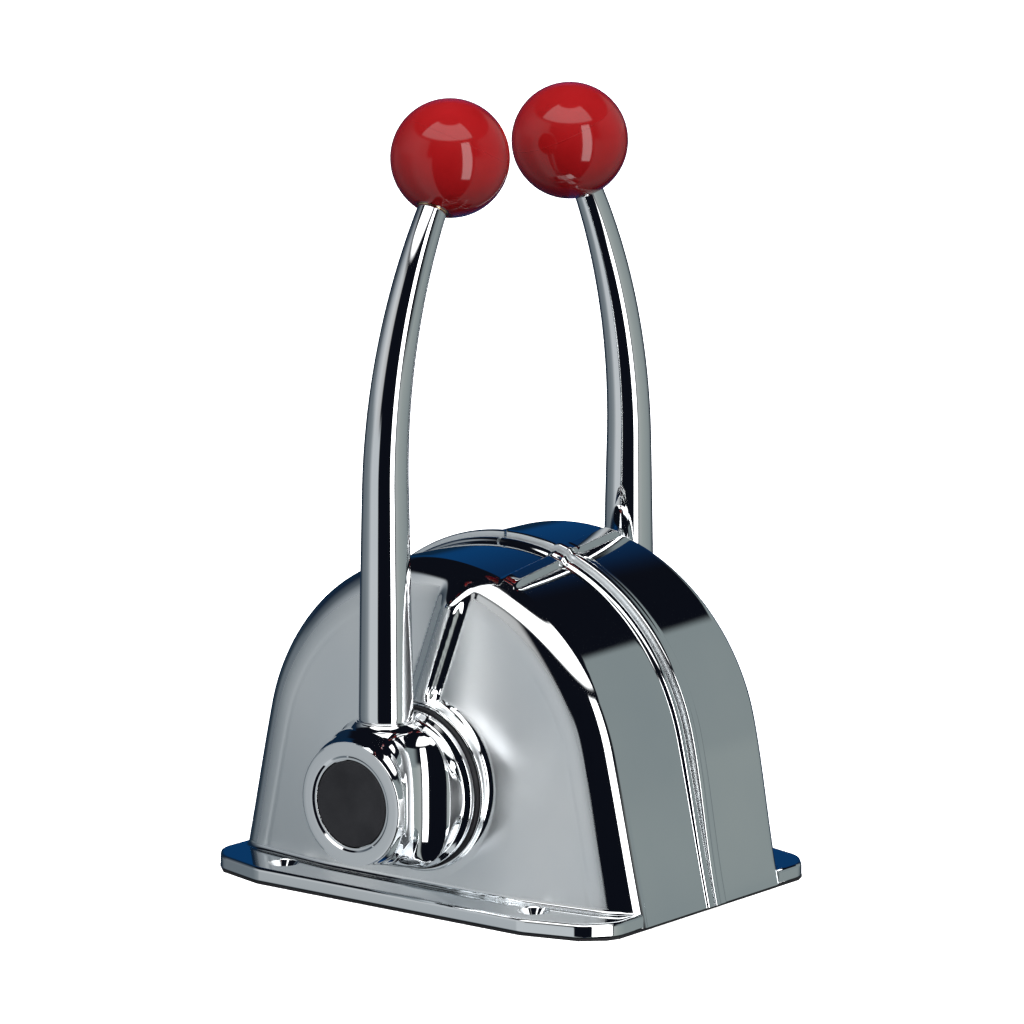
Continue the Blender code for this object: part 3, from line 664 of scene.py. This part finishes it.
def knob():
    """The ball, with the flat seat and the bore that its lever runs into."""
    seat = KNOB_SEAT
    edge = math.acos(seat / KNOB_R)
    path = [(-seat + 4, 6.2), (-seat + 0.5, 6.4), (-seat + 0.05, 6.8), (-seat, 7.3)]
    path += [(-KNOB_R * math.cos(a), KNOB_R * math.sin(a)) for a in np.linspace(edge, math.pi, 90)]
    return turned([np.array(p) for p in path], 128, tuple(KNOB), tuple(ARM_WAY))


def hub_cap():
    """The disc that closes the end of the hub."""
    corners = [(98.3, 0.001, 0), (98.3, 17.5, 0), (103.05, CAP_R, 0.35), (103.05, 0.001, 0)]
    return turned(split(rounded(corners, 6), 2), 128)


def hub_seal():
    """The ring between the hub and the housing's boss."""
    corners = [(63.2, 27, 0), (63.2, 33.9, 0.5), (64.8, 33.6, 0.5), (64.8, 27, 0)]
    return turned(rounded(corners, 5), 128)


# ---------------------------------------------------------------- materials
class Finish:
    """A material built from nodes, with the surface's own object coordinates for its textures."""

    def __init__(self, name, **values):
        self.material = bpy.data.materials.new(name)
        self.material.use_nodes = True
        self.tree = self.material.node_tree
        self.shader = self.tree.nodes["Principled BSDF"]
        for socket, value in values.items():
            self.shader.inputs[socket.replace("_", " ")].default_value = value
        self.place = self.node("ShaderNodeTexCoord").outputs["Object"]

    def node(self, kind, inputs=(), **settings):
        made = self.tree.nodes.new(kind)
        for key, value in settings.items():
            setattr(made, key, value)
        for key, value in dict(inputs).items():
            if isinstance(value, bpy.types.NodeSocket):
                self.tree.links.new(value, made.inputs[key])
            else:
                made.inputs[key].default_value = value
        return made

    def stretched(self, scale):
        return self.node("ShaderNodeMapping", {"Vector": self.place, "Scale": scale}).outputs["Vector"]

    def noise(self, scale, detail=3.0, rough=0.5, place=None):
        made = self.node("ShaderNodeTexNoise", {"Vector": place or self.place, "Scale": scale,
                                                "Detail": detail, "Roughness": rough})
        return made.outputs["Fac"]

    def spread(self, value, low, high, start=0.3, end=0.7):
        made = self.node("ShaderNodeMapRange", {"Value": value, "From Min": start, "From Max": end,
                                                "To Min": low, "To Max": high})
        return made.outputs["Result"]

    def colours(self, value, *stops):
        ramp = self.node("ShaderNodeValToRGB", {"Fac": value})
        band = ramp.color_ramp
        while len(band.elements) < len(stops):
            band.elements.new(0.5)
        for element, (at, colour) in zip(band.elements, stops):
            element.position, element.color = at, (*colour, 1)
        return ramp.outputs["Color"]

    def feed(self, socket, value):
        self.tree.links.new(value, self.shader.inputs[socket])

    def bump(self, height, depth, strength=1.0, after=None):
        made = self.node("ShaderNodeBump", {"Height": height, "Distance": depth, "Strength": strength})
        if after is not None:
            self.tree.links.new(after, made.inputs["Normal"])
        self.tree.links.new(made.outputs["Normal"], self.shader.inputs["Normal"])
        return made.outputs["Normal"]


def chrome(name, low, high, wave=0.00004, scratch=(1, 1, 1)):
    """Polished chrome plate: faint colour drift, hand-polishing haze, fine scratches and a slow waviness."""
    f = Finish(name, Metallic=1.0)
    f.feed("Base Color", f.colours(f.noise(14), (0.35, low), (0.65, high)))
    haze = f.spread(f.noise(30, 5), 0.022, 0.05)
    marks = f.noise(900, 2, 0.6, f.stretched(scratch))
    f.feed("Roughness", f.node("ShaderNodeMath", {0: haze, 1: f.spread(marks, 0.0, 0.03, 0.58, 0.75)},
                               operation="ADD").outputs[0])
    slow = f.bump(f.noise(22, 1), wave)
    f.bump(marks, 0.0000015, 0.6, slow)
    return f


def satin_sides(f):
    """The broad side faces keep the finer sanding marks, so they mirror their surroundings only softly.

    The boss's face and the flange stay polished.
    """
    normal = f.node("ShaderNodeNewGeometry").outputs["True Normal"]
    normal = f.node("ShaderNodeVectorTransform", {"Vector": normal}, vector_type="NORMAL",
                    convert_from="WORLD", convert_to="OBJECT").outputs["Vector"]
    across = f.node("ShaderNodeSeparateXYZ", {"Vector": normal}).outputs["X"]
    facing = f.node("ShaderNodeMath", {0: across}, operation="ABSOLUTE").outputs[0]
    place = f.node("ShaderNodeSeparateXYZ", {"Vector": f.place}).outputs
    depth = f.node("ShaderNodeMath", {0: place["X"]}, operation="ABSOLUTE").outputs[0]
    outer = f.spread(depth, 1.0, 0.0, 0.0620, 0.0626)
    high = f.spread(place["Z"], 0.0, 1.0, 0.0072, 0.0095)
    polished = f.shader.inputs["Roughness"].links[0].from_socket
    share = f.node("ShaderNodeMath", {0: f.spread(facing, 0.0, SATIN, 0.925, 0.95), 1: outer},
                   operation="MULTIPLY").outputs[0]
    share = f.node("ShaderNodeMath", {0: share, 1: high}, operation="MULTIPLY").outputs[0]
    f.feed("Roughness", f.node("ShaderNodeMath", {0: polished, 1: share}, operation="ADD").outputs[0])
    return f


def parting_line(f, way, level, width):
    """A thin raised flash line where the two halves of a moulding met, on the plane at level along way."""
    along = f.node("ShaderNodeVectorMath", {0: f.place, 1: way}, operation="DOT_PRODUCT").outputs["Value"]
    off = f.node("ShaderNodeMath", {0: along, 1: level}, operation="SUBTRACT").outputs[0]
    far = f.node("ShaderNodeMath", {0: off}, operation="ABSOLUTE").outputs[0]
    return f.node("ShaderNodeMapRange", {"Value": far, "From Min": 0.0, "From Max": width,
                                         "To Min": 1.0, "To Max": 0.0}, interpolation_type="SMOOTHSTEP"
                  ).outputs["Result"]


def red_gloss(name, side):
    """Lacquered red plastic with its moulding's parting line."""
    f = Finish(name, Coat_Weight=1.0, Coat_Roughness=0.025, Coat_IOR=1.42, Specular_IOR_Level=0.05)
    f.feed("Base Color", f.colours(f.noise(45, 4), (0.3, (0.26, 0.006, 0.007)),
                                   (0.7, (0.31, 0.008, 0.01))))
    f.feed("Roughness", f.spread(f.noise(60, 4), 0.16, 0.24))
    way = Vector((-side * 0.37, side * 0.226, 0.901)).normalized()
    centre = Vector((side * KNOB.x, 0, KNOB.z)) * MM
    line = parting_line(f, tuple(way), way.dot(centre) + 0.007, 0.00028)
    slow = f.bump(f.noise(35, 1), 0.00002)
    f.bump(line, 0.00009, 1.0, slow)
    return f.material


def matt_black(name, base=0.012, rough=(0.42, 0.6), grain=1400):
    f = Finish(name, Specular_IOR_Level=0.35)
    f.feed("Base Color", f.colours(f.noise(80, 4), (0.3, (base, base, base * 1.25)),
                                   (0.7, (base * 1.8, base * 1.8, base * 2.1))))
    f.feed("Roughness", f.spread(f.noise(120, 5), *rough))
    f.bump(f.noise(grain, 3), 0.00003, 0.8)
    return f.material


def metal(name, low, high, rough, stretch=(1, 1, 1), grain=700, depth=0.00002):
    f = Finish(name, Metallic=1.0)
    f.feed("Base Color", f.colours(f.noise(60, 5), (0.32, low), (0.68, high)))
    fine = f.noise(grain, 3, 0.6, f.stretched(stretch))
    f.feed("Roughness", f.spread(fine, *rough))
    f.bump(fine, depth, 0.7)
    return f.material


def lining(name):
    f = Finish(name, Specular_IOR_Level=0.2)
    cells = f.node("ShaderNodeTexVoronoi", {"Vector": f.place, "Scale": 900.0}).outputs["Distance"]
    f.feed("Base Color", f.colours(f.noise(500, 4), (0.35, (0.09, 0.05, 0.03)), (0.55, (0.2, 0.12, 0.07)),
                                   (0.72, (0.42, 0.3, 0.16))))
    f.feed("Roughness", f.spread(cells, 0.75, 0.95, 0.0, 0.6))
    f.bump(cells, 0.00008, 0.7)
    return f.material


CASTING = satin_sides(chrome("chrome_casting", (0.80, 0.83, 0.85), (0.87, 0.885, 0.89),
                             scratch=(1, 3, 1))).material
LEVER = chrome("chrome_lever", (0.82, 0.84, 0.86), (0.88, 0.89, 0.9), wave=0.00002,
               scratch=(1, 1, 0.15)).material
INSIDE = metal("cast_inside", (0.42, 0.43, 0.44), (0.6, 0.61, 0.62), (0.38, 0.55), grain=500, depth=0.00005)
RED = {side: red_gloss(f"red_knob_{'left' if side < 0 else 'right'}", side) for side in (-1, 1)}
CAP = matt_black("black_cap")
RUBBER = matt_black("rubber", 0.01, (0.6, 0.8), 900)
STEEL = metal("steel", (0.5, 0.51, 0.53), (0.66, 0.67, 0.69), (0.2, 0.38), (1, 8, 8))
BRASS = metal("brass", (0.62, 0.42, 0.16), (0.8, 0.6, 0.28), (0.22, 0.4), (1, 6, 6))
ZINC = metal("zinc_plate", (0.6, 0.58, 0.5), (0.74, 0.73, 0.68), (0.3, 0.48))
LINING = lining("brake_lining")

NODE_FINISH = {
    "base_gasket": RUBBER, "seam_bolt": STEEL, "seam_nut": ZINC, "hub_screw": STEEL, "hub_washer": ZINC,
    "lever_shaft": STEEL, "shaft_bushing": BRASS, "drive_arm": ZINC, "arm_screw": STEEL, "cable_pivot": BRASS,
    "pivot_clip": STEEL, "brake_shoe": LINING, "brake_screw": STEEL, "cable_anchor": ZINC,
    "anchor_screw": STEEL, "knob_insert": BRASS,
}


def dress_nodes():
    """The CAD nodes that stay shown take a finish by what they are."""
    for name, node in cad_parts.items():
        if node.hide_render:
            continue
        kind = name.split("_", 1)[1] if name.startswith(("left_", "right_")) else name
        found = next(NODE_FINISH[key] for key in NODE_FINISH if kind.startswith(key))
        node.data.materials.clear()
        node.data.materials.append(found)


# ---------------------------------------------------------------- pieces
def seam_lugs():
    """The bored lugs inside each half that the seam bolts go through."""
    profile = rounded([(0.35, 2.75, 0), (0.35, 9, 0.3), (8, 9, 0.8), (8, 2.75, 0)], 4)
    return joined(*(turned(profile, 48, (0, y, z)) for y, z in SEAM_BOLTS))


def box_shell(low, high, bevel=0.8):
    """A block with rounded edges."""
    low, high = np.array(low, float), np.array(high, float)
    middle, half = (low + high) / 2, (high - low) / 2
    ring = []
    for corner, (sign_x, sign_y) in enumerate(((1, 1), (-1, 1), (-1, -1), (1, -1))):
        for a in (corner + np.linspace(0, 1, 5)) * math.pi / 2:
            ring.append((sign_x * (half[0] - bevel) + bevel * math.cos(a),
                         sign_y * (half[1] - bevel) + bevel * math.sin(a)))
    ring = np.array(ring)
    top = half[2]
    wall_top = 0.999 * top - 0.7 * bevel
    shrink = 1 - 0.3 * bevel / max(half[0], half[1])
    levels = [(-top, 0), (-top, shrink), (-wall_top, 1), (wall_top, 1), (top, shrink), (top, 0)]
    rows = np.array([np.column_stack([ring * share, np.full(len(ring), z)]) for z, share in levels])
    return rows + middle, grid_faces(*rows.shape[:2], wrap=True)


for side, word in ((-1, "left"), (1, "right")):
    lever_body = f"{word}_lever_body"
    piece(f"{word}_housing_skin", outer_skin(side), CASTING, "housing", [f"{word}_housing"],
          42, side)
    for part, shape in (("housing_inside", inner_skin(side)), ("seam_lugs", seam_lugs()),
                        ("brake_post", box_shell(*BRAKE_POST)), ("anchor_lug", box_shell(*ANCHOR_LUG))):
        piece(f"{word}_{part}", shape, INSIDE, "housing", (), 40, side)
    piece(f"{word}_foot_fillet", foot_fillet(), CASTING, "housing", (), 60, side)
    make_flange(f"{word}_flange", side, CASTING)
    piece(f"{word}_lever_skin", joined(hub(), collar(), bar()), LEVER, lever_body, [f"{word}_lever"],
          42, side)
    piece(f"{word}_knob_skin", knob(), RED[side], lever_body, [f"{word}_knob"], 60, side)
    piece(f"{word}_cap_skin", hub_cap(), CAP, lever_body, [f"{word}_hub_cap"], 50, side)
    piece(f"{word}_seal_skin", hub_seal(), RUBBER, "housing", [f"{word}_hub_seal"], 50, side)

dress_nodes()


# ---------------------------------------------------------------- studio
BACK_AZIMUTH = -142.0  # degrees, from the part towards the camera; the world's azimuths count from it
LENS = 203.16
CAMERA_TURN = (-52.054, 10.31, 0.057)  # azimuth, elevation and roll in degrees
CAMERA_TARGET = (8.188, 5.531, 149.424)
CAMERA_DISTANCE = 2.3765


def world_panels():
    """The studio as a world: dark above and behind, grey at the sides, white panels for the highlights."""
    world = bpy.data.worlds.new("studio")
    bpy.context.scene.world = world
    world.use_nodes = True
    tree = world.node_tree
    tree.nodes.clear()

    def node(kind, inputs=(), **settings):
        made = tree.nodes.new(kind)
        for key, value in settings.items():
            setattr(made, key, value)
        for key, value in dict(inputs).items():
            if isinstance(value, bpy.types.NodeSocket):
                tree.links.new(value, made.inputs[key])
            else:
                made.inputs[key].default_value = value
        return made

    def math_node(operation, *values):
        return node("ShaderNodeMath", dict(enumerate(values)), operation=operation).outputs[0]

    def step(value, low, high):
        made = node("ShaderNodeMapRange", {"Value": value, "From Min": low, "From Max": high},
                    interpolation_type="SMOOTHSTEP")
        return made.outputs["Result"]

    place = node("ShaderNodeTexCoord").outputs["Generated"]
    turn = node("ShaderNodeVectorRotate", {"Vector": place, "Angle": math.radians(-BACK_AZIMUTH)},
                rotation_type="Z_AXIS").outputs["Vector"]
    axes = node("ShaderNodeSeparateXYZ", {"Vector": turn})
    azimuth = math_node("ARCTAN2", axes.outputs["Y"], axes.outputs["X"])
    azimuth = math_node("MULTIPLY", azimuth, 180 / math.pi)
    elevation = math_node("MULTIPLY", math_node("ARCSINE", axes.outputs["Z"]), 180 / math.pi)

    def ramp(stops):
        share = math_node("DIVIDE", math_node("ADD", azimuth, 180.0), 360.0)
        made = node("ShaderNodeValToRGB", {"Fac": share})
        band = made.color_ramp
        while len(band.elements) < len(stops):
            band.elements.new(0.5)
        for element, (at, colour) in zip(band.elements, stops):
            element.position, element.color = (at + 180) / 360, (*colour, 1)
        return made.outputs["Color"]

    def mix(a, b, share):
        made = node("ShaderNodeMix", {"Factor": share}, data_type="RGBA")
        for key, value in (("A", a), ("B", b)):
            socket = next(i for i in made.inputs if i.name == key and i.type == "RGBA")
            if isinstance(value, bpy.types.NodeSocket):
                tree.links.new(value, socket)
            else:
                socket.default_value = (*value, 1)
        return next(o for o in made.outputs if o.type == "RGBA")

    def window(low_az, high_az, low_el, high_el, soft_az=3.0, soft_el=3.0):
        masks = [step(azimuth, low_az - soft_az / 2, low_az + soft_az / 2),
                 step(azimuth, high_az + soft_az / 2, high_az - soft_az / 2),
                 step(elevation, low_el - soft_el / 2, low_el + soft_el / 2),
                 step(elevation, high_el + soft_el / 2, high_el - soft_el / 2)]
        share = masks[0]
        for mask in masks[1:]:
            share = math_node("MULTIPLY", share, mask)
        return share

    black = (0.004, 0.005, 0.009)
    blue = (0.004, 0.045, 0.15)
    navy = (0.004, 0.02, 0.05)
    grey = (0.56, 0.59, 0.61)
    green_grey = (0.245, 0.285, 0.29)
    low = ramp([(-180, navy), (-162, navy), (-140, (0.03, 0.045, 0.06)), (-126, (0.14, 0.165, 0.19)),
                (-104, (0.17, 0.2, 0.22)), (-86, (0.25, 0.28, 0.3)), (-70, grey), (-36, grey),
                (-33, black), (46, black), (52, (0.4, 0.43, 0.42)), (70, (0.33, 0.37, 0.36)),
                (120, green_grey), (140, (0.1, 0.12, 0.13)), (150, black), (172, blue), (180, blue)])
    high = ramp([(-180, blue), (-162, navy), (-140, (0.01, 0.02, 0.04)), (-118, (0.1, 0.12, 0.14)),
                 (-92, (0.4, 0.43, 0.46)), (-70, (0.62, 0.64, 0.65)), (-48, (0.5, 0.5, 0.5)),
                 (-42, black), (150, black), (172, (0.004, 0.03, 0.1)), (180, blue)])
    colour = mix(low, high, step(elevation, 2.0, 9.0))
    colour = mix(colour, green_grey, window(62, 150, 2, 33, 20, 2))
    colour = mix(colour, black, step(elevation, 33.0, 40.0))
    colour = mix(colour, (4.5, 4.5, 4.5), window(25, 44, -34, 34, 3, 4))
    colour = mix(colour, (2.2, 2.2, 2.2), window(-75, 58, 40, 72, 5, 4))
    shown = node("ShaderNodeBackground", {"Color": colour, "Strength": 1.0})
    plain = node("ShaderNodeBackground", {"Color": (1.0, 1.0, 1.0, 1), "Strength": 1.0})
    seen = node("ShaderNodeLightPath").outputs["Is Camera Ray"]
    both = node("ShaderNodeMixShader", {0: seen, 1: shown.outputs[0], 2: plain.outputs[0]})
    node("ShaderNodeOutputWorld", {"Surface": both.outputs[0]})


def make_floor():
    bpy.ops.mesh.primitive_plane_add(size=30)
    floor = bpy.context.object
    floor.name = "floor"
    f = Finish("pale_floor", Roughness=0.9, Specular_IOR_Level=0.1)
    f.shader.inputs["Emission Color"].default_value = (1.0, 1.0, 1.0, 1.0)
    f.feed("Emission Strength", f.node("ShaderNodeLightPath").outputs["Is Camera Ray"])
    f.feed("Base Color", f.colours(f.noise(2.0, 2), (0.3, (0.9, 0.905, 0.91)), (0.7, (0.92, 0.92, 0.92))))
    floor.data.materials.append(f.material)
    floor.visible_glossy = False
    floor.visible_diffuse = False


def soft_sun(name, way, power, spread):
    """An even light from one side, spread over so wide an angle that it casts hardly any shadow."""
    light = bpy.data.lights.new(name, "SUN")
    light.energy, light.angle = power, math.radians(spread)
    obj = bpy.data.objects.new(name, light)
    obj.location = way
    obj.rotation_euler = Vector(way).to_track_quat("Z", "Y").to_euler()
    obj.visible_glossy = False
    bpy.context.scene.collection.objects.link(obj)


def make_camera():
    camera = bpy.data.cameras.new("camera")
    camera.sensor_width = 36.0
    camera.lens = LENS
    camera.clip_start, camera.clip_end = 0.05, 60
    obj = bpy.data.objects.new("camera", camera)
    azimuth, elevation, roll = (math.radians(angle) for angle in CAMERA_TURN)
    back = Vector((math.sin(azimuth) * math.cos(elevation), -math.cos(azimuth) * math.cos(elevation),
                   math.sin(elevation)))
    obj.location = Vector(CAMERA_TARGET) * MM + back * CAMERA_DISTANCE
    turn = (-back).to_track_quat("-Z", "Y").to_matrix() @ Matrix.Rotation(roll, 3, "Z")
    obj.rotation_euler = turn.to_euler()
    bpy.context.scene.collection.objects.link(obj)
    bpy.context.scene.camera = obj


world_panels()
make_floor()
soft_sun("overhead", (0.15, 0.2, 1.0), 3.3, 150)
soft_sun("fill", (-1.6, -1.8, 1.4), 0.6, 60)
make_camera()
bpy.context.scene.view_settings.view_transform = "Standard"
